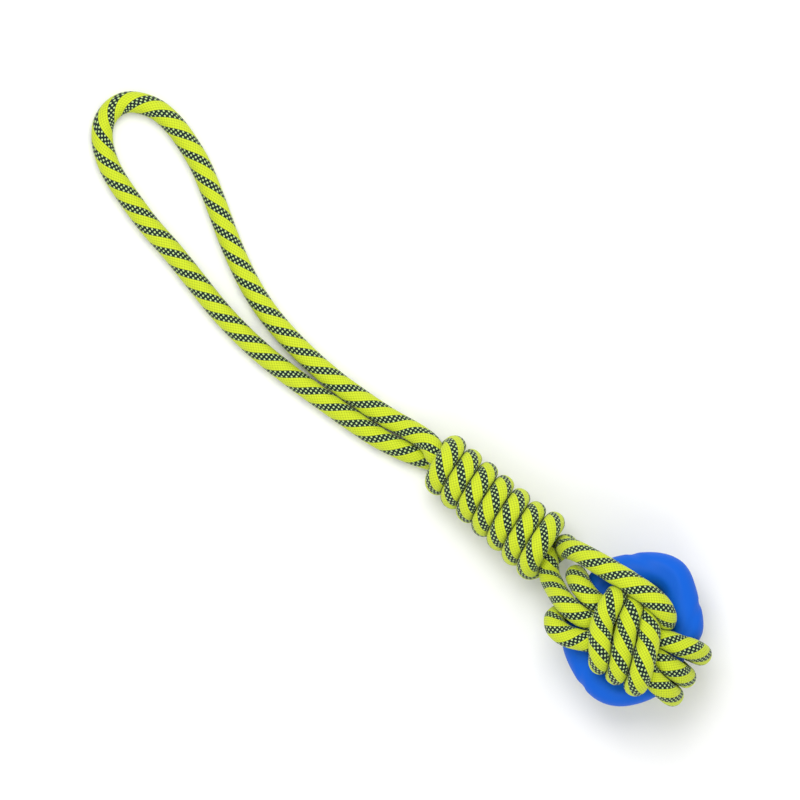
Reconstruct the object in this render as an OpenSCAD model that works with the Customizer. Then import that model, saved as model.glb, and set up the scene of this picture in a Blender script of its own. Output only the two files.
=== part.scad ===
// Soft rope handle: a hand loop, a wrapped grip, a short neck, and a lashing on a rubber ring.
// One rope makes every rope stretch. Lengths are in millimetres; X runs from the loop to the ring,
// Z is up, and the part lies on z = 0.

/* [Rope] */

// Diameter of the free rope
rope_d = 10.4; // [10:0.1:10.6]
// Diameter of the rope where the knot pulls it tight
knot_d = 8.4; // [7.8:0.1:8.4]
// Diameter of the rope where it is squeezed through the ring
pinch_d = 7.4; // [6.8:0.1:7.4]
// Diameter of the strand inside the wrapped grip
core_d = 9.2; // [8.8:0.1:9.6]
// Diameter of the rope in the turns round it
coil_d = 9.8; // [9.4:0.1:9.9]
// Clearance between stretches of rope
gap = 0.3; // [0.2:0.05:0.4]

/* [Wrapped grip] */

// Distance from one turn to the next
wrap_pitch = 10.4; // [10.2:0.05:10.5]
// Height of the grip's axis at its mouth
mouth_height = 15.4; // [15.2:0.1:16]
// Rise of the grip towards the ring, in degrees
wrap_rise = 5.8; // [5:0.1:6.5]
// Turn of the grip in plan, in degrees
wrap_yaw = 4.3; // [3.5:0.1:4.8]

/* [Rubber ring] */

// Mean outer radius of the ring
ring_r = 36.2; // [36:0.1:39]
// Half of the ring's thickness across its band
tube_w = 9.5; // [9:0.1:9.5]
// Half of the ring's height
tube_h = 9; // [8.4:0.1:9]
// How far the ring bulges on its far side
bulge_left = 5.5; // [4:0.1:7]
// How far the ring bulges on its near side
bulge_right = 4.7; // [4:0.1:6]
// How far the lashing pinches the ring at its free end
pinch_front = 5; // [4.6:0.1:5.4]
// How far the lashing pinches the ring at the neck
pinch_neck = 4.2; // [3.8:0.1:4.6]

/* [Hidden] */

rope_color = "gold";
dark_color = "darkolivegreen";
ring_color = "royalblue";

rope_sides = 12;   // flats round the rope
per = 2;           // rings of the sweep for each step of the route
seam = 0.02;       // clearance where one stretch ends and the next starts
ring_steps = 60;   // steps round the rubber ring
tube_steps = 16;   // steps round its section

// The knot's place: the middle of the ring. Its lowest turn rests on the floor.
lowest_turn = 25.6;
knot_at = [164.8, -1, lowest_turn + knot_d / 2];

// ---- the rubber ring ----

// Signed angle from b to a, from -180 to 180
function turn_from(a, b) = (a - b + 900) % 360 - 180;

// A soft bulge with a flank on each side
function bulge(t, at, low, high) =
  let (d = turn_from(t, at), w = d > 0 ? high : low) exp(-pow(d / w, 2));

// A flat-bottomed dent where the rope passes
function dent(t, at, w) = exp(-pow(turn_from(t, at) / w, 4));

function ring_out(t) =
  ring_r + bulge_left * bulge(t, 98, 20, 28) + bulge_right * bulge(t, 296, 28, 30)
  - pinch_front * dent(t, 9, 24) - pinch_neck * dent(t, 200, 30);

function ring_mid(t) = ring_out(t) - tube_w;

// ---- places for the rope's route, measured from the ring's middle ----

// Extra room where a turn bends over the ring
slack = 0.8;

// Resting on the ring: azimuth t, and a from 0 on its outside to 90 on its top
function on_ring(t, a, d = knot_d) =
  let (off = d / 2 + gap + slack, r = ring_mid(t) + (tube_w + off) * cos(a))
  [r * cos(t), r * sin(t), (tube_h + off) * sin(a), d];

// Resting on the ring at a place in plan; side is 1 for the top and -1 for the underside
function over(x, y, side, d = knot_d) =
  let (
    t = atan2(y, x), off = d / 2 + gap + slack,
    q = (norm([x, y]) - ring_mid(t)) / (tube_w + off)
  )
  [x, y, side * (tube_h + off) * sqrt(max(0, 1 - q * q)), d];

// ---- the grip: a helix round a straight core ----

coil_r = core_d / 2 + coil_d / 2 + gap;
wrap_turns = 7.25;    // turns of rope round the core strand
first_turn = -0.25;   // the wrap starts a quarter turn before it comes up at the side
mouth_at = [39.6, -9.6, mouth_height];

function yaw_z(p, a) = [p.x * cos(a) - p.y * sin(a), p.x * sin(a) + p.y * cos(a), p.z];
function rise_y(p, a) = [p.x * cos(a) - p.z * sin(a), p.y, p.x * sin(a) + p.z * cos(a)];
function in_grip(p) = mouth_at + yaw_z(rise_y(p, wrap_rise), wrap_yaw);

// The wrap loosens towards the neck. Its last whole turn stands out, and the rope then leaves the
// grip close to the core.
coil_end = first_turn + wrap_turns;
loosening = 0.3;      // growth of the helix for each turn past the first
stand_out = 2;        // how far the last whole turn stands out
stand_out_over = 0.45;  // turns that it takes to rise
run_out = 4;          // extra advance for each turn, over the last half turn
draw_in = 10;         // shrinking for each turn, over the last quarter turn
function coil_out(n) =
  coil_r + loosening * max(0, n - 1)
  + stand_out * exp(-pow((n - coil_end + 1) / stand_out_over, 2))
  - draw_in * max(0, n - coil_end + 0.25);
function coil_along(n) = n * wrap_pitch + run_out * max(0, n - coil_end + 0.5);

coil_steps = 8;       // route points for each turn
coil_pts = [
  for (i = [0:round(wrap_turns * coil_steps)])
    let (n = first_turn + i / coil_steps, r = coil_out(n))
      concat(in_grip([coil_along(n), r * cos(360 * n), r * sin(360 * n)]), coil_d)
];
core_steps = 6;       // steps of the core strand, which ends half a turn before the wrap
core_start = first_turn * wrap_pitch;
core_end = (coil_end - 0.5) * wrap_pitch;
core_pts = [
  for (i = [0:core_steps])
    concat(in_grip([core_start + (core_end - core_start) * i / core_steps, 0, 0]), core_d)
];

// ---- the rope's route ----

function flat(p) = [p.x, p.y, rope_d / 2, rope_d];
function placed(list) = [for (p = list) concat(knot_at + place(p), p[3])];

// The hand loop lies flat. The bight and the lower leg start at the same place.
loop_start = [-177, -24.6];
bight_xy = [
  [-186, -21.4], [-194, -16.6], [-200, -10], [-202, -2], [-200, 5.4],
  [-194, 10.8], [-185, 14.4], [-174, 14.8]
];
leg_upper_xy = [
  [-163, 13], [-152, 10.2], [-141, 5.8], [-129, 0.4], [-117, -5.2], [-104, -10.6], [-91, -15],
  [-77, -18.2], [-62, -19.8], [-46, -20], [-34, -19.4], [-24, -18.4]
];
leg_lower_xy = [
  [-164, -27.2], [-148, -29.6], [-130, -30.8], [-112, -32.8], [-94, -34.8],
  [-78, -35.4], [-62, -34.8], [-46, -33], [-34, -31.2], [-24, -29.6]
];
fold_upper_xy = [[-13, -16.6], [-3, -14.8]];
fold_lower_xy = [[-13, -27.8], [-3, -26]];
root_upper_pts = [[6, -12.8, rope_d / 2 + 0.4, rope_d]];
root_lower_xy = [[6, -24.2]];
mouth_upper_pts = [
  [14, -10.6, rope_d / 2 + 1.2, rope_d], [22, -8.4, rope_d / 2 + 4.2, rope_d],
  [30, -7.6, rope_d / 2 + 8, 9.8]
];
mouth_lower_pts = [
  [14, -21.8, rope_d / 2, rope_d], [22.5, -18.8, rope_d / 2, rope_d],
  [31, -14.6, rope_d / 2, 10.2]
];

// The two legs of the neck
neck_upper_pts = [
  [-51, 5, -1.6, 9.6], [-47.8, 6.8, 4.6, 9.4], [-43, 8.6, 10.4, 9.2], [-37, 10.2, 14.8, knot_d]
];
neck_lower_pts = [
  [-54, -5.8, -7, 9], [-51.2, -7.8, -6, 9], [-48.2, -10.2, -5.2, 9], [-45, -11.8, -2.8, 9],
  [-41.2, -13, 1.2, 8.8], [-36.6, -14.3, 7.4, knot_d]
];

// Three turns that cross both sides of the ring and pass round its outside
cross_turn_1_pts = [
  [-30.6, -14.9, 13, knot_d], [-24, -14.2, 14.6, knot_d], [-16, -11.8, 13.4, knot_d],
  [-8, -8.2, 10, 8], [0, -4.8, 8.2, 8], [8, -3.2, 8.8, 8], [15, -1.8, 12, 8],
  over(22, -1.6, 1), on_ring(0, 50), on_ring(2, 0), on_ring(2, -50), on_ring(1, -90),
  [12, -1.2, -11.2, knot_d], [4, -3.6, -7, 8], [-4, -7.6, -6.6, 8], [-11, -12, -11.2, knot_d],
  on_ring(211, -90), on_ring(214, -45)
];
cross_turn_2_pts = [
  on_ring(217, 0), [-29.6, -25, 7.2, knot_d], [-26, -27, 12.2, knot_d],
  [-20, -26, 14.4, knot_d], [-13.4, -22, 15.2, knot_d], [-6.4, -16.6, 15.8, knot_d],
  [2, -12, 15.8, knot_d], [10, -9.6, 16, knot_d], [17, -9, 17.4, knot_d],
  [24, -10.5, 15.9, knot_d],
  on_ring(-17, 50), on_ring(-14, 0), on_ring(-15, -50), on_ring(-22, -90),
  [17.5, -8.8, -17, knot_d], [11, -8.8, -16.2, knot_d], [4, -7.2, -15.8, knot_d],
  [-4, -4.4, -15.6, knot_d], [-12, -3, -14.8, knot_d], on_ring(188, -90), on_ring(184, -45)
];
cross_turn_3_pts = [
  on_ring(182, 0), on_ring(186, 48), over(-24, -4.6, 1), [-16, -2.6, 14.2, knot_d],
  [-8, 0.4, 14.4, knot_d], [0, 2.4, 14.2, knot_d], [8, 4, 14.1, knot_d],
  [14.6, 6.8, 14.5, knot_d], over(22, 9.8, 1), on_ring(25, 55), on_ring(23.5, 0),
  on_ring(23.5, -55), on_ring(25, -90)
];
cross_end_pts = [[16.5, 8.8, -13.6, 8]];

// Three turns that bind them through the ring
neck_over_pts = [
  [-30, 12, 17, knot_d], [-22, 13.8, 20, knot_d], [-14, 15.6, 22.6, knot_d],
  [-6.5, 17, 23.8, knot_d], [0, 17.4, 23.6, knot_d], [5.8, 16.4, 21, 8], [8.8, 14.2, 14.8, 8],
  [8.8, 11.4, 7.4, pinch_d]
];
lash_turn_1_pts = [
  [7.4, 9.2, 0, pinch_d], [8.2, 11.4, -7, pinch_d], [9.6, 13.8, -12.6, 8], [9.8, 12, -19, knot_d],
  [11, 6, -23.2, knot_d], [13.5, 0, -24.2, knot_d], [16.4, -8, -lowest_turn, knot_d],
  [18.8, -15.2, -24, knot_d], [21.2, -19.6, -17, 8], [16.6, -13.6, -10.2, pinch_d - 0.4],
  [11.6, -8.3, -4.8, pinch_d], [10, -6.4, 0, pinch_d], [11.9, -8.5, 4.6, pinch_d],
  [16.4, -13.4, 10.2, pinch_d - 0.4], [20.6, -19, 15.2, 8], [20.6, -17, 22.4, knot_d],
  [17.6, -11.6, 25.7, knot_d], [14.2, -5.6, 25.2, knot_d], [10.8, 0.2, 24, knot_d],
  [6.6, 4.8, 23, knot_d], [2.2, 8.4, 20.6, 8], [0.4, 11.6, 15.2, 8], [0, 12.6, 7.5, pinch_d]
];
lash_turn_2_pts = [
  [-1.2, 12.8, 0, pinch_d], [-0.8, 12.8, -7, pinch_d], [0, 12.6, -14, 8], [1.2, 9.4, -20, knot_d],
  [2.6, 3, -24, knot_d], [5, -7, -24.6, knot_d], [7.6, -14, -23.2, knot_d],
  [10, -20.6, -18.8, knot_d], [10, -22, -13.2, 8], [8.4, -18.4, -7.5, pinch_d], [7.2, -14.6, 0, pinch_d],
  [8, -17.6, 7.5, pinch_d], [10, -21.6, 13.4, 8], [10.4, -20.8, 19.6, knot_d],
  [7.6, -16.6, 24, knot_d], [3.6, -11.4, 24.6, knot_d], [0.6, -5.8, 23.8, knot_d],
  [-2.6, 0, 23.4, knot_d], [-5.4, 4.8, 22.4, knot_d], [-7.6, 8.4, 18.6, 8], [-8.8, 10.2, 12.5, 8],
  [-9, 9.8, 6, pinch_d]
];
lash_turn_3_pts = [
  [-8.8, 9.2, 0, pinch_d], [-9, 9.4, -7, pinch_d], [-9.4, 9, -14, 8], [-9.6, 4.6, -20.4, knot_d],
  [-8.6, -3, -24.2, knot_d], [-6, -11, -23.8, knot_d], [-3.4, -17.4, -20.8, knot_d],
  [-2, -21.6, -14.4, 8], [-2, -16.6, -7.5, pinch_d], [-2, -13.6, 0, pinch_d],
  [-1.8, -16.6, 7.2, pinch_d], [0.8, -22.2, 12.3, 8], [1, -23.4, 18.4, knot_d],
  [-2, -20.4, 23.8, knot_d], [-7, -15.6, 24.4, knot_d], [-11, -11.2, 23.6, knot_d],
  [-13.8, -5.8, 23, knot_d], [-15.4, -0.2, 22.8, knot_d], [-16.2, 4.8, 20.2, knot_d]
];
lash_end_pts = [[-16.6, 7.6, 15, 8]];

// The two halves of the rope, each from the loop's start to its sealed end. Each list begins with
// two points of the other half, so that the halves meet in one direction.
core_half = concat(
  [flat(leg_lower_xy[1]), flat(leg_lower_xy[0]), flat(loop_start)],
  [for (p = bight_xy) flat(p)], [for (p = leg_upper_xy) flat(p)], [for (p = fold_upper_xy) flat(p)],
  root_upper_pts, mouth_upper_pts, core_pts, placed(neck_lower_pts),
  placed(cross_turn_1_pts), placed(cross_turn_2_pts), placed(cross_turn_3_pts), placed(cross_end_pts)
);
wrap_half = concat(
  [flat(bight_xy[1]), flat(bight_xy[0]), flat(loop_start)],
  [for (p = leg_lower_xy) flat(p)], [for (p = fold_lower_xy) flat(p)],
  [for (p = root_lower_xy) flat(p)], mouth_lower_pts, coil_pts, placed(neck_upper_pts),
  placed(neck_over_pts), placed(lash_turn_1_pts), placed(lash_turn_2_pts), placed(lash_turn_3_pts),
  placed(lash_end_pts)
);

// Where each stretch starts, as a count of route points
k_start = 2;
k_leg = k_start + len(bight_xy);
k_fold = k_leg + len(leg_upper_xy);
k_root = k_fold + len(fold_upper_xy);
k_mouth = k_root + len(root_upper_pts);
k_core = k_mouth + len(mouth_upper_pts) + 1;
k_neck = k_core + len(core_pts) - 1;
k_turn_1 = k_neck + len(neck_lower_pts) + 1;
k_turn_2 = k_turn_1 + len(cross_turn_1_pts);
k_turn_3 = k_turn_2 + len(cross_turn_2_pts);
k_end = k_turn_3 + len(cross_turn_3_pts) - 1;
k_last = k_end + 1;

w_start = 2;
w_fold = w_start + len(leg_lower_xy);
w_root = w_fold + len(fold_lower_xy);
w_mouth = w_root + len(root_lower_xy);
w_coil = w_mouth + len(mouth_lower_pts) + 1;
w_neck = w_coil + len(coil_pts) - 1;
w_turn_1 = w_neck + len(neck_upper_pts) + 1;
w_turn_2 = w_turn_1 + len(neck_over_pts) + len(lash_turn_1_pts);
w_turn_3 = w_turn_2 + len(lash_turn_2_pts);
w_end = w_turn_3 + len(lash_turn_3_pts) - 1;
w_last = w_end + 1;

// ---- sweeping ----

// A smooth curve through the route's points, with their diameters
function spline(a, b, c, d, u) =
  0.5 * (2 * b + (c - a) * u + (2 * a - 5 * b + 4 * c - d) * u * u + (3 * b - a - 3 * c + d) * u * u * u);

function curve(p) =
  let (n = len(p), q = concat([2 * p[0] - p[1]], p, [2 * p[n - 1] - p[n - 2]]))
  concat(
    [for (i = [0:n - 2]) for (k = [0:per - 1]) spline(q[i], q[i + 1], q[i + 2], q[i + 3], k / per)],
    [p[n - 1]]
  );

function place(p) = [p.x, p.y, p.z];
function unit(v) = v / norm(v);
function along(p, i) = unit(place(p[min(i + 1, len(p) - 1)]) - place(p[max(i - 1, 0)]));
function square_to(v, t) = unit(v - (v * t) * t);

// The direction of the first flat at each step, carried along without twisting
function carried(p) =
  [for (i = 0, v = [0, 0, 1]; i < len(p); i = i + 1, v = i < len(p) ? square_to(v, along(p, i)) : v) v];

// One ring of the sweep, moved back along the rope where a stretch ends
function ring_at(p, v, i, back = 0) =
  let (t = along(p, i), s = cross(t, v), r = p[i][3] / 2)
  [
    for (k = [0:rope_sides - 1])
      let (a = 360 * k / rope_sides) place(p[i]) - back * t + r * (cos(a) * v + sin(a) * s)
  ];

core_line = curve(core_half);
core_side = carried(core_line);
wrap_line = curve(wrap_half);
wrap_side = carried(wrap_line);

// One stretch of rope, from one count of route points to another
module stretch(line, side, from, to, tone) {
  rings = [
    for (i = [from * per:to * per]) ring_at(line, side[i], i, i == to * per ? seam : 0)
  ];
  n = rope_sides;
  m = len(rings);
  sides = [
    for (i = [0:m - 2]) for (k = [0:n - 1])
      each [
        [i * n + k, (i + 1) * n + (k + 1) % n, i * n + (k + 1) % n],
        [i * n + k, (i + 1) * n + k, (i + 1) * n + (k + 1) % n]
      ]
  ];
  ends = [[for (k = [0:n - 1]) k], [for (k = [n - 1:-1:0]) (m - 1) * n + k]];
  color(tone)
    polyhedron(points = [for (r = rings) each r], faces = concat(sides, ends), convexity = 10);
}

// ---- sub-parts ----

module rubber_ring() {
  n = tube_steps;
  m = ring_steps;
  pts = [
    for (i = [0:m - 1]) for (k = [0:n - 1])
      let (t = 360 * i / m, a = 360 * k / n, r = ring_mid(t) + tube_w * cos(a))
        knot_at + [r * cos(t), r * sin(t), tube_h * sin(a)]
  ];
  faces = [
    for (i = [0:m - 1]) for (k = [0:n - 1])
      let (j = (i + 1) % m, l = (k + 1) % n)
        each [[i * n + k, i * n + l, j * n + l], [i * n + k, j * n + l, j * n + k]]
  ];
  color(ring_color) polyhedron(points = pts, faces = faces, convexity = 10);
}

module loop_bight() {
  stretch(core_line, core_side, k_start, k_leg, rope_color);
}

module loop_leg_upper() {
  stretch(core_line, core_side, k_leg, k_fold, rope_color);
}

module loop_leg_lower() {
  stretch(wrap_line, wrap_side, w_start, w_fold, rope_color);
}

module loop_fold_upper() {
  stretch(core_line, core_side, k_fold, k_root, rope_color);
}

module loop_fold_lower() {
  stretch(wrap_line, wrap_side, w_fold, w_root, rope_color);
}

module loop_root_upper() {
  stretch(core_line, core_side, k_root, k_mouth, rope_color);
}

module loop_root_lower() {
  stretch(wrap_line, wrap_side, w_root, w_mouth, rope_color);
}

module mouth_upper() {
  stretch(core_line, core_side, k_mouth, k_core, rope_color);
}

module mouth_lower() {
  stretch(wrap_line, wrap_side, w_mouth, w_coil, rope_color);
}

module wrap_core() {
  stretch(core_line, core_side, k_core, k_neck, rope_color);
}

module wrap_coil() {
  stretch(wrap_line, wrap_side, w_coil, w_neck, rope_color);
}

module neck_upper() {
  stretch(wrap_line, wrap_side, w_neck, w_turn_1, rope_color);
}

module neck_lower() {
  stretch(core_line, core_side, k_neck, k_turn_1, rope_color);
}

module cross_turn_1() {
  stretch(core_line, core_side, k_turn_1, k_turn_2, rope_color);
}

module cross_turn_2() {
  stretch(core_line, core_side, k_turn_2, k_turn_3, rope_color);
}

module cross_turn_3() {
  stretch(core_line, core_side, k_turn_3, k_end, rope_color);
}

module rope_end_cross() {
  stretch(core_line, core_side, k_end, k_last, dark_color);
}

module lash_turn_1() {
  stretch(wrap_line, wrap_side, w_turn_1, w_turn_2, rope_color);
}

module lash_turn_2() {
  stretch(wrap_line, wrap_side, w_turn_2, w_turn_3, rope_color);
}

module lash_turn_3() {
  stretch(wrap_line, wrap_side, w_turn_3, w_end, rope_color);
}

module rope_end_lash() {
  stretch(wrap_line, wrap_side, w_end, w_last, dark_color);
}

rubber_ring();
loop_bight();
loop_leg_upper();
loop_leg_lower();
loop_fold_upper();
loop_fold_lower();
loop_root_upper();
loop_root_lower();
mouth_upper();
mouth_lower();
wrap_core();
wrap_coil();
neck_upper();
neck_lower();
cross_turn_1();
cross_turn_2();
cross_turn_3();
rope_end_cross();
lash_turn_1();
lash_turn_2();
lash_turn_3();
rope_end_lash();
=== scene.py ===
"""Braided rope handle whose neck lashes a rubber ring, dressed on its CAD frame."""

import math

import bpy
import numpy as np
from bpy.props import FloatProperty, FloatVectorProperty, IntProperty, PointerProperty
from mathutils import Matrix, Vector


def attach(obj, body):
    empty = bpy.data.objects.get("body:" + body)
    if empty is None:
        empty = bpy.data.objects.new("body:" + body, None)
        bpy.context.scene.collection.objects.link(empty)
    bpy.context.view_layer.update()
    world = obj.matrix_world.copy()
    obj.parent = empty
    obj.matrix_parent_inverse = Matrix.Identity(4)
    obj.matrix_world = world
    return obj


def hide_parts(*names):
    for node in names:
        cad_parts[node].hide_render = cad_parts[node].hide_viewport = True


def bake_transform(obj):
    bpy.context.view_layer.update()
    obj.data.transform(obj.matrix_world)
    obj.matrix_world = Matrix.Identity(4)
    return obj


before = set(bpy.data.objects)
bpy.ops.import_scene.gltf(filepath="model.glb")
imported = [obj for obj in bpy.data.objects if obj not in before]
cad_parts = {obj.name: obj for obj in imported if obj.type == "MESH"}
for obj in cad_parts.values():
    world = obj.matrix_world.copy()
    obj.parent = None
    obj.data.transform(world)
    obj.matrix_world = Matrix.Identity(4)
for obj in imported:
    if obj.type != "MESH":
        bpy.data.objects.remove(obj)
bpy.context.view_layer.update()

bl_info = {
    "name": "Rope handle and ring",
    "version": (1, 0, 0),
    "blender": (4, 5, 0),
    "location": "3D View > Sidebar > Rope handle",
    "description": "Models a braided rope handle that is lashed to a rubber ring",
    "category": "Add Mesh",
}

MM = 0.001

# ---- the rope's route, in millimetres, as the frame has it ----

ROPE_D, KNOT_D, PINCH_D, CORE_D, COIL_D = 10.4, 8.4, 7.4, 9.2, 9.8
GAP, SLACK = 0.3, 0.8
WRAP_PITCH, WRAP_TURNS, FIRST_TURN = 10.4, 7.25, -0.25
WRAP_RISE, WRAP_YAW = 5.8, 4.3
MOUTH_AT = (39.6, -9.6, 15.4)
LOOSENING = 0.3         # how much the coil's radius grows with each turn
STAND_OUT = 2.0         # how far its last turn stands out
STAND_OUT_OVER = 0.45   # over how many turns that comes and goes
RUN_OUT = 4.0           # how much further it advances in a turn, over its last half turn
DRAW_IN = 10.0          # how much it draws in for a turn, over its last quarter turn
HALF, QUARTER = 0.5, 0.25
RING_R, TUBE_W, TUBE_H = 36.2, 9.5, 9.0
# Where the lashing makes the ring bulge: how far, at which azimuth, and the width to each side
BULGES = [(5.5, 98, 20, 28), (4.7, 296, 28, 30)]
# Where it pinches the ring: how far, at which azimuth, and the width
PINCHES = [(5.0, 9, 24), (4.2, 200, 30)]
LOWEST_TURN = 25.6
KNOT_AT = (164.8, -1.0, LOWEST_TURN + KNOT_D / 2)

LOOP_START = (-177, -24.6)
BIGHT = [(-186, -21.4), (-194, -16.6), (-200, -10), (-202, -2), (-200, 5.4), (-194, 10.8),
         (-185, 14.4), (-174, 14.8)]
LEG_UPPER = [(-163, 13), (-152, 10.2), (-141, 5.8), (-129, 0.4), (-117, -5.2), (-104, -10.6),
             (-91, -15), (-77, -18.2), (-62, -19.8), (-46, -20), (-34, -19.4), (-24, -18.4)]
LEG_LOWER = [(-164, -27.2), (-148, -29.6), (-130, -30.8), (-112, -32.8), (-94, -34.8),
             (-78, -35.4), (-62, -34.8), (-46, -33), (-34, -31.2), (-24, -29.6)]
FOLD_UPPER = [(-13, -16.6), (-3, -14.8)]
FOLD_LOWER = [(-13, -27.8), (-3, -26)]
ROOT_UPPER = [(6, -12.8, ROPE_D / 2 + 0.4, ROPE_D)]
ROOT_LOWER = [(6, -24.2)]
MOUTH_UPPER = [(14, -10.6, ROPE_D / 2 + 1.2, ROPE_D), (22, -8.4, ROPE_D / 2 + 4.2, ROPE_D),
               (30, -7.6, ROPE_D / 2 + 8, 9.8)]
MOUTH_LOWER = [(14, -21.8, ROPE_D / 2, ROPE_D), (22.5, -18.8, ROPE_D / 2, ROPE_D),
               (31, -14.6, ROPE_D / 2, 10.2)]


def turn_from(a, b):
    """The signed angle from b to a, in degrees."""
    return (a - b + 900) % 360 - 180


def ring_out(t):
    """The ring's outer radius at azimuth t, in degrees, squeezed as the lashing leaves it."""
    out = RING_R
    for size, azimuth, low, high in BULGES:
        d = turn_from(t, azimuth)
        out = out + size * np.exp(-(d / np.where(d > 0, high, low)) ** 2)
    for size, azimuth, width in PINCHES:
        out = out - size * np.exp(-(turn_from(t, azimuth) / width) ** 4)
    return out


def on_ring(t, a, d=KNOT_D):
    """A route point on the ring: azimuth t, and a from 0 on its outside to 90 on its top."""
    off = d / 2 + GAP + SLACK
    t, a = math.radians(t), math.radians(a)
    r = float(ring_out(math.degrees(t))) - TUBE_W + (TUBE_W + off) * math.cos(a)
    return (r * math.cos(t), r * math.sin(t), (TUBE_H + off) * math.sin(a), d)


def over(x, y, side=1, d=KNOT_D):
    """A route point that rests on the ring at a place in plan."""
    off = d / 2 + GAP + SLACK
    mid = float(ring_out(math.degrees(math.atan2(y, x)))) - TUBE_W
    q = (math.hypot(x, y) - mid) / (TUBE_W + off)
    return (x, y, side * (TUBE_H + off) * math.sqrt(max(0.0, 1 - q * q)), d)


K, P = KNOT_D, PINCH_D
NECK_UPPER = [(-51, 5, -1.6, 9.6), (-47.8, 6.8, 4.6, 9.4), (-43, 8.6, 10.4, 9.2),
              (-37, 10.2, 14.8, K)]
NECK_LOWER = [(-54, -5.8, -7, 9), (-51.2, -7.8, -6, 9), (-48.2, -10.2, -5.2, 9),
              (-45, -11.8, -2.8, 9), (-41.2, -13, 1.2, 8.8), (-36.6, -14.3, 7.4, K)]
CROSS_TURNS = [
    (-30.6, -14.9, 13, K), (-24, -14.2, 14.6, K), (-16, -11.8, 13.4, K), (-8, -8.2, 10, 8),
    (0, -4.8, 8.2, 8), (8, -3.2, 8.8, 8), (15, -1.8, 12, 8), over(22, -1.6), on_ring(0, 50),
    on_ring(2, 0), on_ring(2, -50), on_ring(1, -90), (12, -1.2, -11.2, K), (4, -3.6, -7, 8),
    (-4, -7.6, -6.6, 8), (-11, -12, -11.2, K), on_ring(211, -90), on_ring(214, -45),
    on_ring(217, 0), (-29.6, -25, 7.2, K), (-26, -27, 12.2, K), (-20, -26, 14.4, K),
    (-13.4, -22, 15.2, K), (-6.4, -16.6, 15.8, K), (2, -12, 15.8, K), (10, -9.6, 16, K),
    (17, -9, 17.4, K), (24, -10.5, 15.9, K), on_ring(-17, 50), on_ring(-14, 0), on_ring(-15, -50),
    on_ring(-22, -90), (17.5, -8.8, -17, K), (11, -8.8, -16.2, K), (4, -7.2, -15.8, K),
    (-4, -4.4, -15.6, K), (-12, -3, -14.8, K), on_ring(188, -90), on_ring(184, -45),
    on_ring(182, 0), on_ring(186, 48), over(-24, -4.6), (-16, -2.6, 14.2, K), (-8, 0.4, 14.4, K),
    (0, 2.4, 14.2, K), (8, 4, 14.1, K), (14.6, 6.8, 14.5, K), over(22, 9.8), on_ring(25, 55),
    on_ring(23.5, 0), on_ring(23.5, -55), on_ring(25, -90), (16.5, 8.8, -13.6, 8),
]
LASH_TURNS = [
    (-30, 12, 17, K), (-22, 13.8, 20, K), (-14, 15.6, 22.6, K), (-6.5, 17, 23.8, K),
    (0, 17.4, 23.6, K), (5.8, 16.4, 21, 8), (8.8, 14.2, 14.8, 8), (8.8, 11.4, 7.4, P),
    (7.4, 9.2, 0, P), (8.2, 11.4, -7, P), (9.6, 13.8, -12.6, 8), (9.8, 12, -19, K),
    (11, 6, -23.2, K), (13.5, 0, -24.2, K), (16.4, -8, -LOWEST_TURN, K), (18.8, -15.2, -24, K),
    (21.2, -19.6, -17, 8), (16.6, -13.6, -10.2, P - 0.4), (11.6, -8.3, -4.8, P), (10, -6.4, 0, P),
    (11.9, -8.5, 4.6, P), (16.4, -13.4, 10.2, P - 0.4), (20.6, -19, 15.2, 8), (20.6, -17, 22.4, K),
    (17.6, -11.6, 25.7, K), (14.2, -5.6, 25.2, K), (10.8, 0.2, 24, K), (6.6, 4.8, 23, K),
    (2.2, 8.4, 20.6, 8), (0.4, 11.6, 15.2, 8), (0, 12.6, 7.5, P), (-1.2, 12.8, 0, P),
    (-0.8, 12.8, -7, P), (0, 12.6, -14, 8), (1.2, 9.4, -20, K), (2.6, 3, -24, K),
    (5, -7, -24.6, K), (7.6, -14, -23.2, K), (10, -20.6, -18.8, K), (10, -22, -13.2, 8),
    (8.4, -18.4, -7.5, P), (7.2, -14.6, 0, P), (8, -17.6, 7.5, P), (10, -21.6, 13.4, 8),
    (10.4, -20.8, 19.6, K), (7.6, -16.6, 24, K), (3.6, -11.4, 24.6, K), (0.6, -5.8, 23.8, K),
    (-2.6, 0, 23.4, K), (-5.4, 4.8, 22.4, K), (-7.6, 8.4, 18.6, 8), (-8.8, 10.2, 12.5, 8),
    (-9, 9.8, 6, P), (-8.8, 9.2, 0, P), (-9, 9.4, -7, P), (-9.4, 9, -14, 8), (-9.6, 4.6, -20.4, K),
    (-8.6, -3, -24.2, K), (-6, -11, -23.8, K), (-3.4, -17.4, -20.8, K), (-2, -21.6, -14.4, 8),
    (-2, -16.6, -7.5, P), (-2, -13.6, 0, P), (-1.8, -16.6, 7.2, P), (0.8, -22.2, 12.3, 8),
    (1, -23.4, 18.4, K), (-2, -20.4, 23.8, K), (-7, -15.6, 24.4, K), (-11, -11.2, 23.6, K),
    (-13.8, -5.8, 23, K), (-15.4, -0.2, 22.8, K), (-16.2, 4.8, 20.2, K), (-16.6, 7.6, 15, 8),
]


def flat(points):
    """Route points of rope that lies on the floor."""
    return [p if len(p) == 4 else (*p, ROPE_D / 2, ROPE_D) for p in points]


def placed(points):
    """Route points measured from the ring's middle, moved to their place."""
    return [(KNOT_AT[0] + x, KNOT_AT[1] + y, KNOT_AT[2] + z, d) for x, y, z, d in points]


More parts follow.
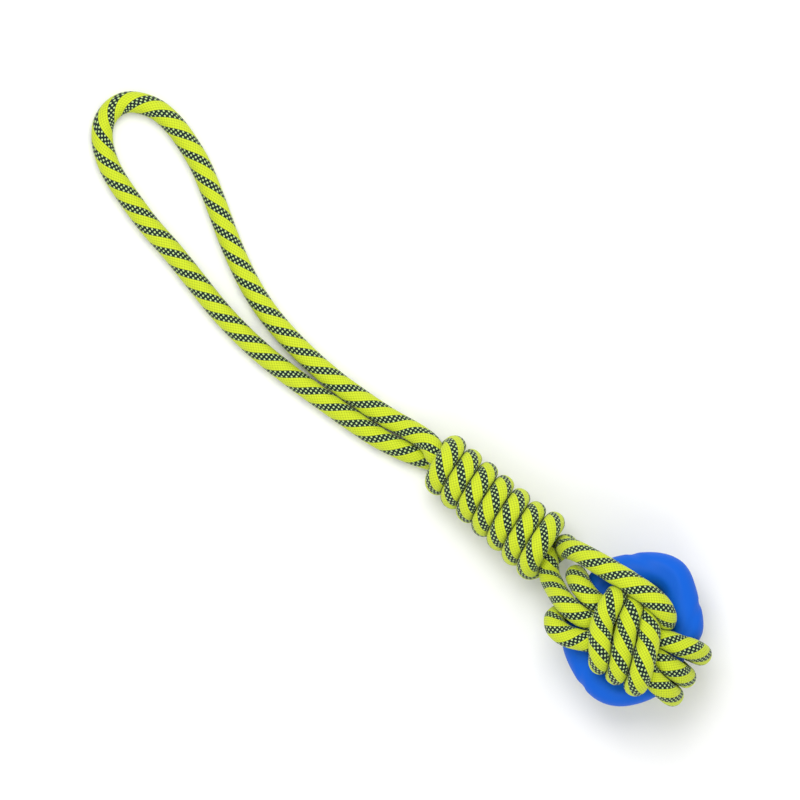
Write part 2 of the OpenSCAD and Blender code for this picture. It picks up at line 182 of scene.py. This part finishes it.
def in_grip(x, y, z, d):
    """A route point measured along the grip's axis from its mouth, moved to its place."""
    a, b = math.radians(WRAP_RISE), math.radians(WRAP_YAW)
    x, z = x * math.cos(a) - z * math.sin(a), x * math.sin(a) + z * math.cos(a)
    x, y = x * math.cos(b) - y * math.sin(b), x * math.sin(b) + y * math.cos(b)
    return (MOUTH_AT[0] + x, MOUTH_AT[1] + y, MOUTH_AT[2] + z, d)


def coil_route(steps=8):
    """The turns of the wrapped grip. They loosen towards the neck, and the last one stands out."""
    route = []
    for i in range(round(WRAP_TURNS * steps) + 1):
        n = FIRST_TURN + i / steps
        left = FIRST_TURN + WRAP_TURNS - n
        r = (CORE_D / 2 + COIL_D / 2 + GAP + LOOSENING * max(0, n - 1)
             + STAND_OUT * math.exp(-((left - 1) / STAND_OUT_OVER) ** 2)
             - DRAW_IN * max(0, QUARTER - left))
        x = n * WRAP_PITCH + RUN_OUT * max(0, HALF - left)
        route.append(in_grip(x, r * math.cos(math.tau * n), r * math.sin(math.tau * n), COIL_D))
    return route


def core_route(steps=6):
    """The strand that runs straight through the grip, and leaves it half a turn early."""
    start, end = FIRST_TURN * WRAP_PITCH, (FIRST_TURN + WRAP_TURNS - HALF) * WRAP_PITCH
    return [in_grip(start + (end - start) * i / steps, 0, 0, CORE_D) for i in range(steps + 1)]


# The whole rope from the lashing's end to the crossing's end, as stretches in order
STRETCHES = [
    ("lash", placed(LASH_TURNS)[::-1]),
    ("neck_upper", placed(NECK_UPPER)[::-1]),
    ("coil", coil_route()[::-1]),
    ("mouth_lower", flat(MOUTH_LOWER)[::-1]),
    ("loop", flat(LEG_LOWER + FOLD_LOWER + ROOT_LOWER)[::-1] + flat(
        [LOOP_START] + BIGHT + LEG_UPPER + FOLD_UPPER) + ROOT_UPPER),
    ("mouth_upper", MOUTH_UPPER),
    ("core", core_route()),
    ("neck_lower", placed(NECK_LOWER)),
    ("cross", placed(CROSS_TURNS)),
]


# ---- the rope's surface ----

STEP = 0.9              # distance between rings of the mesh along the rope, mm
AROUND = 40             # vertices round each ring
NEAR = 18.0             # rope this close along its own length doesn't press on itself, mm
TOUCH = 0.4             # strands with less than this between them press on each other, mm
SKIN = 0.04             # half of what is left between two strands that press on each other, mm
CLEAR = 0.05            # what is left between the rope and the floor or the ring, mm
LEAN = 0.05             # a neighbour isn't felt on a side that leans towards it by less
FREE = 99.0             # the radius to which a side may go that nothing presses on, mm
FLAT_POWER = 9.0        # how sharply a strand turns from round to flat
MOST_SPREAD = 1.13      # how many times as wide a strand gets at most where it is pressed
RING_REACH = 1.1        # how many times its radius a strand looks out for the ring
HALVINGS = 12           # how often the way to the ring is halved to find where it starts
END_ROUND = 2.4         # length over which an end of the rope rounds off, mm
END_TIP = 0.02          # how small the last ring gets, as the square of its share
MOST_TURNING = 0.6      # how much of the braid's run a tight turn adds at most
ANY_SIDE = (0.3, 0.2, 1.0)      # a direction across the rope's first end
# The soft rope's diameter is so many times that of the solid, and stays between these, mm
SOFTER, THINNEST, THICKEST = 1.27, 9.3, 10.6
# How much wider a strand gets where it lies flattened among others, mm
WIDENED = {"coil": 0.6, "lash": 0.8, "cross": 0.3}
# How far the braid is drawn out along a stretch that is pulled taut
DRAWN_OUT = {"neck_upper": 1.15}
# The stretches that aren't tied tight
LOOSE = {"mouth_lower": 0.0, "loop": 0.0, "mouth_upper": 0.0}
# Over how many rings each of the rope's values is evened out
EVENED = {"line": 3, "width": 12, "turning": 6, "tied": 12, "drawn": 8, "spread": 4, "section": 2}


def spline_samples(points, per=24):
    """Points along the same smooth curve as the frame's, with their route position."""
    p = np.array(points, float)
    q = np.vstack([2 * p[0] - p[1], p, 2 * p[-1] - p[-2]])
    u = np.arange(per)[:, None] / per
    out = []
    for i in range(len(p) - 1):
        a, b, c, d = q[i:i + 4]
        out.append(0.5 * (2 * b + (c - a) * u + (2 * a - 5 * b + 4 * c - d) * u ** 2
                          + (3 * b - a - 3 * c + d) * u ** 3))
    out.append(p[-1:])
    where = np.append(np.repeat(np.arange(len(p) - 1), per) + np.tile(u[:, 0], len(p) - 1),
                      len(p) - 1)
    return np.vstack(out), where


def smoothed(values, width):
    """A running average along the first axis, with the ends kept."""
    n = int(width)
    kernel = np.hanning(2 * n + 3)[1:-1]
    kernel /= kernel.sum()
    padded = np.concatenate([np.repeat(values[:1], n, 0), values, np.repeat(values[-1:], n, 0)])
    flatter = padded.reshape(len(padded), -1)
    done = np.stack([np.convolve(flatter[:, k], kernel, "valid")
                     for k in range(flatter.shape[1])], 1)
    return done.reshape(values.shape)


def shown_diameter(d):
    """The soft rope's own diameter where the frame's solid, which can't be squashed, has d."""
    return np.clip(d * SOFTER, THINNEST, THICKEST)


class Rope:
    """The rope's centreline, sections and surface, worked out once for all its pieces."""

    def __init__(self):
        route, starts = [], {}
        for name, points in STRETCHES:
            starts[name] = len(route)
            route += points
        dense, where = spline_samples(route)
        arc = np.append(0, np.cumsum(np.linalg.norm(np.diff(dense[:, :3], axis=0), axis=1)))
        n = int(arc[-1] / STEP)
        self.s = np.linspace(0, arc[-1], n + 1)
        line = np.stack([np.interp(self.s, arc, dense[:, k]) for k in range(4)], 1)
        at = np.interp(self.s, arc, where)
        self.first = {name: int(np.searchsorted(at, i)) for name, i in starts.items()}
        line[1:-1] = smoothed(line, EVENED["line"])[1:-1]
        self.p = line[:, :3]
        names = list(starts)
        self.end = dict(zip(names, [self.first[name] for name in names[1:]] + [n + 1]))
        widened = smoothed(self.by_stretch(WIDENED, 0.0), EVENED["width"])
        self.d = shown_diameter(line[:, 3]) + widened
        self.carry()
        self.lay_braid()
        self.press()

    def by_stretch(self, values, usual):
        """One value for each ring of the mesh: its stretch's own, or the usual one."""
        out = np.full(len(self.s), usual)
        for name, value in values.items():
            out[self.first[name]:self.end[name]] = value
        return out

    def carry(self):
        """Directions across the rope that don't twist along it."""
        t = np.gradient(self.p, axis=0)
        t /= np.linalg.norm(t, axis=1)[:, None]
        v = np.zeros_like(t)
        now = np.cross(t[0], ANY_SIDE)
        for i, ahead in enumerate(t):
            now = now - ahead * now.dot(ahead)
            now /= np.linalg.norm(now)
            v[i] = now
        self.t, self.v, self.w = t, v, np.cross(t, v)

    def lay_braid(self):
        """How far the braid's pattern has run. On a tight turn it keeps its slant outside."""
        turning = np.linalg.norm(np.gradient(self.t, axis=0), axis=1) / STEP
        turning = smoothed(turning, EVENED["turning"])
        tied = smoothed(self.by_stretch(LOOSE, 1.0), EVENED["tied"])
        rate = 1 + tied * np.minimum(turning * self.d / 2, MOST_TURNING)
        rate = rate / smoothed(self.by_stretch(DRAWN_OUT, 1.0), EVENED["drawn"])
        self.run = np.append(0, np.cumsum(rate[1:] * np.diff(self.s)))

    def press(self):
        """Each section is flattened where another strand, the ring or the floor presses on it."""
        n = len(self.s)
        angle = np.arange(AROUND) * math.tau / AROUND
        e = (np.cos(angle)[None, :, None] * self.v[:, None, :]
             + np.sin(angle)[None, :, None] * self.w[:, None, :])
        half = self.d / 2
        r0 = np.repeat(half[:, None], AROUND, 1)
        cap = np.full((n, AROUND), FREE)
        for i in range(n):
            gap = self.p - self.p[i]
            far = np.linalg.norm(gap, axis=1)
            close = (far < half[i] + half + TOUCH) & (np.abs(self.s - self.s[i]) > NEAR)
            if not close.any():
                continue
            away = gap[close] / far[close][:, None]
            reach = far[close] * half[i] / (half[i] + half[close]) - SKIN
            lean = e[i] @ away.T
            allowed = np.where(lean > LEAN, reach / np.maximum(lean, LEAN), FREE)
            cap[i] = np.minimum(cap[i], allowed.min(1))
        cap = np.minimum(cap, self.clear_of_ring(e, r0 * RING_REACH))
        down = -e[:, :, 2]
        floor = (self.p[:, 2][:, None] - CLEAR) / np.maximum(down, LEAN)
        cap = np.minimum(cap, np.where(down > LEAN, floor, FREE))

        def pressed(r):
            return (r ** -FLAT_POWER + cap ** -FLAT_POWER) ** (-1 / FLAT_POWER)

        r = pressed(r0)
        spread = np.sqrt((r0 ** 2).mean(1) / (r ** 2).mean(1))
        spread = smoothed(np.clip(spread, 1, MOST_SPREAD), EVENED["spread"])
        r = smoothed(pressed(r0 * spread[:, None]), EVENED["section"])
        from_end = np.minimum(np.arange(n), np.arange(n)[::-1]) * STEP / END_ROUND
        taper = np.sqrt(np.clip(1 - (1 - np.minimum(from_end, 1)) ** 2, END_TIP, 1))
        r = r * taper[:, None]
        self.surface = self.p[:, None, :] + e * r[:, :, None]

    def clear_of_ring(self, e, r):
        """The radius at which each direction would meet the rubber ring."""
        low, high = np.zeros_like(r), r.copy()
        for _ in range(HALVINGS):
            mid = (low + high) / 2
            q = self.p[:, None, :] + e * mid[:, :, None] - np.array(KNOT_AT)
            t = np.degrees(np.arctan2(q[..., 1], q[..., 0]))
            away = (np.hypot(q[..., 0], q[..., 1]) - ring_out(t) + TUBE_W) / (TUBE_W + CLEAR)
            inside = away ** 2 + (q[..., 2] / (TUBE_H + CLEAR)) ** 2 < 1
            high = np.where(inside, mid, high)
            low = np.where(inside, low, mid)
        return np.where(high < r, high, FREE)


made = {}       # the rope and each material, once made


def rope():
    """The rope, worked out on first use."""
    if "rope" not in made:
        made["rope"] = Rope()
    return made["rope"]


# ---- helpers ----

MELTED = 2.5            # length of rope that is melted where it is sealed, mm
YARN_ROUND = 0.7        # how far a yarn falls off towards its sides, as a share of its height
YARN_DIP = 0.3          # how far it falls off towards where it goes under
FLECK = 0.62            # how much of a bright yarn shows between dark ones


def linear(colour):
    """An sRGB hex colour as linear RGBA."""
    parts = [int(colour[i:i + 2], 16) / 255 for i in (1, 3, 5)]
    return [c / 12.92 if c <= 0.04045 else ((c + 0.055) / 1.055) ** 2.4 for c in parts] + [1.0]


def add(tree, kind, links=None, **settings):
    """Adds a node. links maps an input to a socket or a value; settings are its properties."""
    node = tree.nodes.new(kind)
    for key, value in settings.items():
        setattr(node, key, value)
    for key, value in (links or {}).items():
        if isinstance(value, bpy.types.NodeSocket):
            tree.links.new(value, node.inputs[key])
        else:
            node.inputs[key].default_value = value
    return node


def material(name):
    """An empty node material, and its tree."""
    m = bpy.data.materials.new(name)
    m.use_nodes = True
    m.node_tree.nodes.clear()
    return m, m.node_tree


def stretch(name, a, b, sealed=()):
    """The rope from ring a to ring b as a closed mesh, with its braid's UV map."""
    rings = rope().surface[a:b + 1] * MM
    n = len(rings)
    points = rings.reshape(-1, 3)
    k = np.arange(AROUND)
    i = np.arange(n - 1)[:, None] * AROUND
    quads = np.stack([i + k, i + (k + 1) % AROUND, i + AROUND + (k + 1) % AROUND,
                      i + AROUND + k], 2).reshape(-1, 4)
    caps = [list(range(AROUND))[::-1], list(range((n - 1) * AROUND, n * AROUND))]
    mesh = bpy.data.meshes.new(name)
    mesh.from_pydata(points.tolist(), [], quads.tolist() + caps)
    mesh.polygons.foreach_set("use_smooth", [True] * len(quads) + [False, False])
    # U counts the turns of a yarn along the rope, and V is the share of the way round it
    u = rope().run[a:b + 1] / (bpy.context.scene.rope_braid.lead / MM)
    uv = np.zeros((len(quads), 4, 2))
    row = np.repeat(np.arange(n - 1), AROUND)
    col = np.tile(k, n - 1)
    uv[:, :, 0] = np.stack([u[row], u[row], u[row + 1], u[row + 1]], 1)
    uv[:, :, 1] = np.stack([col, col + 1, col + 1, col], 1) / AROUND
    cap_uv = np.concatenate([np.stack([np.full(AROUND, u[0]), k[::-1] / AROUND], 1),
                             np.stack([np.full(AROUND, u[-1]), k / AROUND], 1)])
    layer = mesh.uv_layers.new(name="braid")
    layer.data.foreach_set("uv", np.concatenate([uv.reshape(-1, 2), cap_uv]).ravel())
    mesh.update()
    rims = {frozenset((c[j], c[(j + 1) % AROUND])) for c in caps for j in range(AROUND)}
    for edge in mesh.edges:
        if frozenset(edge.vertices) in rims:
            edge.use_edge_sharp = True
    obj = bpy.data.objects.new(name, mesh)
    bpy.context.collection.objects.link(obj)
    mesh.materials.append(braid_material())
    if sealed:
        mesh.materials.append(sealed_material())
        melted = int(MELTED / STEP) * AROUND
        index = np.zeros(len(quads) + 2, int)
        if "first" in sealed:
            index[:melted] = 1
            index[len(quads)] = 1
        if "last" in sealed:
            index[len(quads) - melted:len(quads)] = 1
            index[-1] = 1
        mesh.polygons.foreach_set("material_index", index.tolist())
    return obj


def braid_material():
    """Braided polyester: bands of bright and of dark yarns, with a soft satin sheen."""
    if "braid" in made:
        return made["braid"]
    look = bpy.context.scene.rope_braid
    m, tree = material("braided polyester")

    def calc(operation, *values):
        return add(tree, "ShaderNodeMath", dict(enumerate(values)), operation=operation).outputs[0]

    uv = add(tree, "ShaderNodeUVMap", uv_map="braid").outputs[0]
    xyz = add(tree, "ShaderNodeSeparateXYZ", {0: uv})
    u, v = xyz.outputs[0], xyz.outputs[1]
    yarns = float(look.yarns)
    # Whole parts count the yarns of each hand, and fractions say where on a yarn a point lies
    left = calc("MULTIPLY", calc("ADD", u, v), yarns)
    right = calc("MULTIPLY", calc("SUBTRACT", u, v), yarns)
    i, j = calc("FLOOR", left), calc("FLOOR", right)
    across, along = calc("FRACT", left), calc("FRACT", right)
    # 1 where the right-handed yarn shows
    under = calc("FLOORED_MODULO", calc("ADD", i, j), 2.0)
    group = yarns / look.bands
    dark = calc("GREATER_THAN", calc("FLOORED_MODULO", i, group), look.bright_yarns - 0.5)

    def off_middle(f):
        x = calc("MULTIPLY_ADD", f, 2.0, -1.0)
        return calc("MULTIPLY", x, x)

    a2, b2 = off_middle(across), off_middle(along)

    def yarn_height(off_across, off_along):
        """A yarn is highest on its middle, and dips a little towards where it goes under."""
        rounded = calc("MULTIPLY_ADD", off_across, -YARN_ROUND, 1.0)
        return calc("MULTIPLY_ADD", off_along, -YARN_DIP, rounded)

    height_left, height_right = yarn_height(a2, b2), yarn_height(b2, a2)
    height = add(tree, "ShaderNodeMix", {0: under, 2: height_left, 3: height_right},
                 data_type="FLOAT").outputs[0]

    def mix(factor, one, two):
        links = {0: factor, 6: one, 7: two}
        return add(tree, "ShaderNodeMix", links, data_type="RGBA").outputs[2]

    bright = [*look.bright, 1.0]
    deep = [*look.dark, 1.0]
    over_colour = mix(dark, bright, deep)
    # The dark yarns are fuller, so the bright ones show between them as round flecks
    fleck = calc("LESS_THAN", calc("ADD", a2, b2), FLECK)
    under_colour = mix(dark, bright, mix(fleck, deep, [*look.fleck, 1.0]))
    top = mix(under, over_colour, under_colour)
    # Between the yarns the light is lost
    shade = add(tree, "ShaderNodeMapRange", {
        "Value": height, "From Min": 0.0, "From Max": 0.8, "To Min": 0.62, "To Max": 1.0})
    shaded = add(tree, "ShaderNodeVectorMath", {0: top, 3: shade.outputs[0]},
                 operation="SCALE").outputs[0]
    bump = add(tree, "ShaderNodeBump", {"Height": height, "Distance": 0.35 * MM, "Strength": 0.7})
    skin = add(tree, "ShaderNodeBsdfPrincipled", {
        "Base Color": shaded, "Normal": bump.outputs[0], "Roughness": 0.62, "IOR": 1.45,
        "Specular IOR Level": 0.25, "Sheen Weight": 0.12, "Sheen Roughness": 0.5})
    add(tree, "ShaderNodeOutputMaterial", {0: skin.outputs[0]})
    made["braid"] = m
    return m


def sealed_material():
    """Polyester melted with a hot knife: dull, darkened and smooth."""
    if "sealed" not in made:
        m, tree = material("heat-sealed polyester")
        skin = add(tree, "ShaderNodeBsdfPrincipled", {
            "Base Color": linear("#5B6420"), "Roughness": 0.5, "IOR": 1.5})
        add(tree, "ShaderNodeOutputMaterial", {0: skin.outputs[0]})
        made["sealed"] = m
    return made["sealed"]


def rubber_material():
    """Moulded thermoplastic rubber: one even colour, satin, with a very fine grain."""
    if "rubber" not in made:
        m, tree = material("moulded TPR rubber")
        place = add(tree, "ShaderNodeTexCoord").outputs["Object"]
        # A moulded grain of 0.4 mm, barely seen
        grain = add(tree, "ShaderNodeTexNoise", {"Vector": place, "Scale": 2500.0, "Detail": 2.0})
        bump = add(tree, "ShaderNodeBump", {
            "Height": grain.outputs[0], "Distance": 0.03 * MM, "Strength": 0.3})
        look = bpy.context.scene.rubber_ring
        skin = add(tree, "ShaderNodeBsdfPrincipled", {
            "Base Color": [*look.colour, 1.0], "Roughness": 0.5, "IOR": 1.5,
            "Specular IOR Level": 0.14, "Normal": bump.outputs[0]})
        add(tree, "ShaderNodeOutputMaterial", {0: skin.outputs[0]})
        made["rubber"] = m
    return made["rubber"]


def at(x, y, z):
    """A point in metres from millimetres."""
    return (x * MM, y * MM, z * MM)


# ---- what a user would change ----

class BraidSettings(bpy.types.PropertyGroup):
    """The rope's braid."""

    lead: FloatProperty(name="Lead", description="Length in which a yarn goes once round the rope",
                        default=0.042, min=0.02, max=0.1, unit="LENGTH")
    yarns: IntProperty(name="Yarns each way", description="Yarns that run in each direction",
                       default=21, min=8, max=48)
    bands: IntProperty(name="Bands", description="Dark bands round the rope", default=3, min=1,
                       max=8)
    bright_yarns: IntProperty(name="Bright yarns", description="Bright yarns beside each dark band",
                              default=4, min=1, max=12)
    bright: FloatVectorProperty(name="Bright yarn", description="Colour of the bright yarns",
                                subtype="COLOR", default=linear("#CBDD22")[:3], min=0, max=1)
    fleck: FloatVectorProperty(name="Fleck", description="Bright yarn where it crosses the dark",
                               subtype="COLOR", default=linear("#BBD98A")[:3], min=0, max=1)
    dark: FloatVectorProperty(name="Dark yarn", description="Colour of the dark yarns",
                              subtype="COLOR", default=linear("#08211F")[:3], min=0, max=1)


class RingSettings(bpy.types.PropertyGroup):
    """The rubber ring."""

    colour: FloatVectorProperty(name="Colour", description="Colour of the rubber",
                                subtype="COLOR", default=linear("#0B5FD2")[:3], min=0, max=1)
    groove_depth: FloatProperty(name="Groove depth", description="Depth of the soft grooves",
                                default=0.0006, min=0, max=0.003, unit="LENGTH")
    groove_width: FloatProperty(name="Groove width", description="Half the width of a groove",
                                default=0.0045, min=0.0005, max=0.008, unit="LENGTH")
    grooves: IntProperty(name="Grooves", description="Grooves round the ring", default=5, min=0,
                         max=12)


class StageSettings(bpy.types.PropertyGroup):
    """The floor, light and camera."""

    key: FloatProperty(name="Key light", description="Power of the large soft light", default=7.0,
                       min=0, max=200, unit="POWER")
    fill: FloatProperty(name="Fill", description="Strength of the light from all round",
                        default=0.7, min=0, max=5)
    lens: FloatProperty(name="Lens", description="Focal length of the camera, in millimetres",
                        default=600, min=20, max=1000)


# ---- the pieces ----

VIEW_MIDDLE = (2.84, -2.6, 18)  # what the camera looks at, mm
VIEW_WIDTH = 400                # how wide the view is there, mm
# Each light's name, place in metres, size in metres, and share of the key light's power
LIGHTS = [("key", (-0.35, 0.25, 1.0), 0.7, 1.0), ("side", (0.7, -0.5, 0.9), 0.6, 0.35)]
WELD = 0.00002                  # vertices of the ring closer than this are one, in metres
FLAT_ANGLE = 1.2                # triangles of the ring up to this angle make a quad, in radians
SMOOTHING = 3                   # times the ring's faces are divided
# The ring's soft grooves run slantwise over its outside. Angles are in degrees
FIRST_GROOVE, NEXT_GROOVE = 65, 70
GROOVE_TURN = 12                # angle round the ring in which a groove turns over to a side
GROOVE_DRIFT = 0.25             # how much further round the tube it goes for each degree
GROOVE_REACH, GROOVE_FADE = 62, 20
GROOVE_RADIUS = 38              # the ring's radius where a groove's slant is worked out, mm


class CameraOperator(bpy.types.Operator):
    """Set the camera straight above, turned so that the handle runs corner to corner"""

    bl_idname = "rope_handle.camera"
    bl_label = "Camera"

    def execute(self, context):
        look = context.scene.rope_stage
        data = bpy.data.cameras.new("camera")
        data.lens, data.sensor_width = look.lens, 36
        height = VIEW_WIDTH * MM * data.lens / data.sensor_width
        obj = bpy.data.objects.new("camera", data)
        context.collection.objects.link(obj)
        obj.location = Vector(at(*VIEW_MIDDLE)) + Vector((0, 0, height))
        obj.rotation_euler = (0, 0, math.radians(45))
        data.clip_start, data.clip_end = 0.01, 20
        context.scene.camera = obj
        return {"FINISHED"}


class StageOperator(bpy.types.Operator):
    """Lay a plain pale floor and set plain soft studio light"""

    bl_idname = "rope_handle.stage"
    bl_label = "Floor and light"

    def execute(self, context):
        look = context.scene.rope_stage
        bpy.ops.mesh.primitive_plane_add(size=6, location=(0, 0, 0))
        floor = context.active_object
        floor.name = "floor"
        m, tree = material("matt white paper")
        skin = add(tree, "ShaderNodeBsdfPrincipled", {
            "Base Color": linear("#F6F6F6"), "Roughness": 1.0, "Specular IOR Level": 0.0})
        add(tree, "ShaderNodeOutputMaterial", {0: skin.outputs[0]})
        floor.data.materials.append(m)
        world = bpy.data.worlds.new("studio")
        world.use_nodes = True
        tree = world.node_tree
        tree.nodes.clear()
        path = add(tree, "ShaderNodeLightPath")
        lit = add(tree, "ShaderNodeBackground", {0: linear("#FFFFFF"), 1: look.fill})
        seen = add(tree, "ShaderNodeBackground", {0: linear("#FFFFFF"), 1: 1.0})
        both = add(tree, "ShaderNodeMixShader", {
            0: path.outputs["Is Camera Ray"], 1: lit.outputs[0], 2: seen.outputs[0]})
        add(tree, "ShaderNodeOutputWorld", {0: both.outputs[0]})
        context.scene.world = world
        for name, where, size, share in LIGHTS:
            light = bpy.data.lights.new(name, "AREA")
            light.shape, light.size = "SQUARE", size
            light.energy = look.key * share
            obj = bpy.data.objects.new(name, light)
            context.collection.objects.link(obj)
            obj.location = where
            obj.rotation_euler = (-Vector(where)).to_track_quat("-Z", "Y").to_euler()
        context.scene.view_settings.view_transform = "Standard"
        return {"FINISHED"}


class HandLoopOperator(bpy.types.Operator):
    """Lay the hand loop, from the grip's mouth round to it again"""

    bl_idname = "rope_handle.hand_loop"
    bl_label = "Hand loop"

    def execute(self, context):
        first = rope().first
        obj = stretch("rope_hand_loop", first["loop"], first["mouth_upper"])
        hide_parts("loop_bight", "loop_leg_upper", "loop_leg_lower", "loop_fold_upper",
                    "loop_fold_lower", "loop_root_upper", "loop_root_lower")
        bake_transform(obj)
        return {"FINISHED"}


class MouthOperator(bpy.types.Operator):
    """Lead both legs of the loop into the mouth of the grip"""

    bl_idname = "rope_handle.mouth"
    bl_label = "Mouth"

    def execute(self, context):
        first = rope().first
        for name, following in (("mouth_lower", "loop"), ("mouth_upper", "core")):
            obj = stretch("rope_" + name, first[name], first[following])
            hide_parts(name)
            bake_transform(obj)
        return {"FINISHED"}


class GripOperator(bpy.types.Operator):
    """Wind one strand of the rope round the other to make the grip"""

    bl_idname = "rope_handle.grip"
    bl_label = "Wrapped grip"

    def execute(self, context):
        first = rope().first
        for name, node, own, following in (("rope_wrap", "wrap_coil", "coil", "mouth_lower"),
                                           ("rope_core", "wrap_core", "core", "neck_lower")):
            obj = stretch(name, first[own], first[following])
            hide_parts(node)
            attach(obj, "grip")
        return {"FINISHED"}


class NeckOperator(bpy.types.Operator):
    """Run both strands from the grip up to the ring"""

    bl_idname = "rope_handle.neck"
    bl_label = "Neck"

    def execute(self, context):
        first = rope().first
        for name, following in (("neck_upper", "coil"), ("neck_lower", "cross")):
            obj = stretch("rope_" + name, first[name], first[following])
            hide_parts(name)
            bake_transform(obj)
        return {"FINISHED"}


class LashingOperator(bpy.types.Operator):
    """Tie both strands over, round and through the ring"""

    bl_idname = "rope_handle.lashing"
    bl_label = "Lashing"

    def execute(self, context):
        first = rope().first
        crossing = stretch("rope_crossing", first["cross"], len(rope().s) - 1, sealed=("last",))
        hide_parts("cross_turn_1", "cross_turn_2", "cross_turn_3", "rope_end_cross")
        lashing = stretch("rope_lashing", 0, first["neck_upper"], sealed=("first",))
        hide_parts("lash_turn_1", "lash_turn_2", "lash_turn_3", "rope_end_lash")
        for obj in (crossing, lashing):
            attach(obj, "ring_end")
        return {"FINISHED"}


class RingOperator(bpy.types.Operator):
    """Mould the rubber ring with its soft grooves"""

    bl_idname = "rope_handle.ring"
    bl_label = "Rubber ring"

    def execute(self, context):
        look = context.scene.rubber_ring
        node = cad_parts["rubber_ring"]
        obj = bpy.data.objects.new("rubber_ring_moulded", node.data.copy())
        context.collection.objects.link(obj)
        bpy.ops.object.select_all(action="DESELECT")
        context.view_layer.objects.active = obj
        obj.select_set(True)
        bpy.ops.object.mode_set(mode="EDIT")
        bpy.ops.mesh.select_all(action="SELECT")
        bpy.ops.mesh.remove_doubles(threshold=WELD)
        bpy.ops.mesh.tris_convert_to_quads(face_threshold=FLAT_ANGLE, shape_threshold=FLAT_ANGLE)
        bpy.ops.mesh.normals_make_consistent(inside=False)
        bpy.ops.object.mode_set(mode="OBJECT")
        smooth = obj.modifiers.new("smooth", "SUBSURF")
        smooth.levels = smooth.render_levels = SMOOTHING
        bpy.ops.object.modifier_apply(modifier=smooth.name)
        group = obj.vertex_groups.new(name="groove")
        for index, weight in enumerate(self.weights(obj, look)):
            if weight > 0:
                group.add([index], float(weight), "REPLACE")
        press = obj.modifiers.new("grooves", "DISPLACE")
        press.vertex_group, press.direction = "groove", "NORMAL"
        press.mid_level, press.strength = 0.0, -look.groove_depth
        bpy.ops.object.modifier_apply(modifier=press.name)
        bpy.ops.object.shade_smooth()
        obj.data.materials.clear()
        obj.data.materials.append(rubber_material())
        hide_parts("rubber_ring")
        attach(obj, "ring_end")
        return {"FINISHED"}

    @staticmethod
    def weights(obj, look):
        """How far each vertex lies in a groove."""
        co = np.zeros(len(obj.data.vertices) * 3)
        obj.data.vertices.foreach_get("co", co)
        q = co.reshape(-1, 3) / MM - np.array(KNOT_AT)
        t = np.degrees(np.arctan2(q[:, 1], q[:, 0]))
        a = np.degrees(np.arctan2(q[:, 2] / TUBE_H,
                                  (np.hypot(q[:, 0], q[:, 1]) - ring_out(t) + TUBE_W) / TUBE_W))
        width = look.groove_width / MM
        total = np.zeros(len(q))
        for k in range(look.grooves):
            back = -turn_from(t, FIRST_GROOVE + NEXT_GROOVE * k)
            size = np.abs(back)
            left = np.exp(-size / GROOVE_TURN)
            path = np.sign(back) * (90 * (1 - left) + GROOVE_DRIFT * size)
            slant = (90 / GROOVE_TURN * left + GROOVE_DRIFT) * TUBE_W / GROOVE_RADIUS
            near = np.radians(np.abs(a - path)) * TUBE_W / np.sqrt(1 + slant ** 2)
            depth = np.where(near < width, 0.5 + 0.5 * np.cos(math.pi * near / width), 0)
            fade = np.clip((GROOVE_REACH - size) / GROOVE_FADE, 0, 1)
            total = np.maximum(total, depth * fade)
        return total


PIECES = [CameraOperator, StageOperator, HandLoopOperator, MouthOperator, GripOperator,
          NeckOperator, LashingOperator, RingOperator]


class RopeHandlePanel(bpy.types.Panel):
    """Lists the pieces"""

    bl_idname = "VIEW3D_PT_rope_handle"
    bl_label = "Rope handle"
    bl_space_type = "VIEW_3D"
    bl_region_type = "UI"
    bl_category = "Rope handle"

    def draw(self, context):
        scene = context.scene
        for group in (scene.rope_braid, scene.rubber_ring, scene.rope_stage):
            for name in group.__annotations__:
                self.layout.prop(group, name)
        for piece in PIECES:
            self.layout.operator(piece.bl_idname)


CLASSES = [BraidSettings, RingSettings, StageSettings, *PIECES, RopeHandlePanel]


def register():
    """Registers the classes and their settings."""
    for c in CLASSES:
        bpy.utils.register_class(c)
    bpy.types.Scene.rope_braid = PointerProperty(type=BraidSettings)
    bpy.types.Scene.rubber_ring = PointerProperty(type=RingSettings)
    bpy.types.Scene.rope_stage = PointerProperty(type=StageSettings)


def unregister():
    """Removes the classes and their settings."""
    for name in ("rope_braid", "rubber_ring", "rope_stage"):
        delattr(bpy.types.Scene, name)
    for c in reversed(CLASSES):
        bpy.utils.unregister_class(c)


def main():
    """Makes every piece."""
    register()
    for step in (bpy.ops.rope_handle.camera, bpy.ops.rope_handle.stage,
                 bpy.ops.rope_handle.hand_loop, bpy.ops.rope_handle.mouth,
                 bpy.ops.rope_handle.grip, bpy.ops.rope_handle.neck,
                 bpy.ops.rope_handle.lashing, bpy.ops.rope_handle.ring):
        step()


if __name__ == "__main__":
    main()
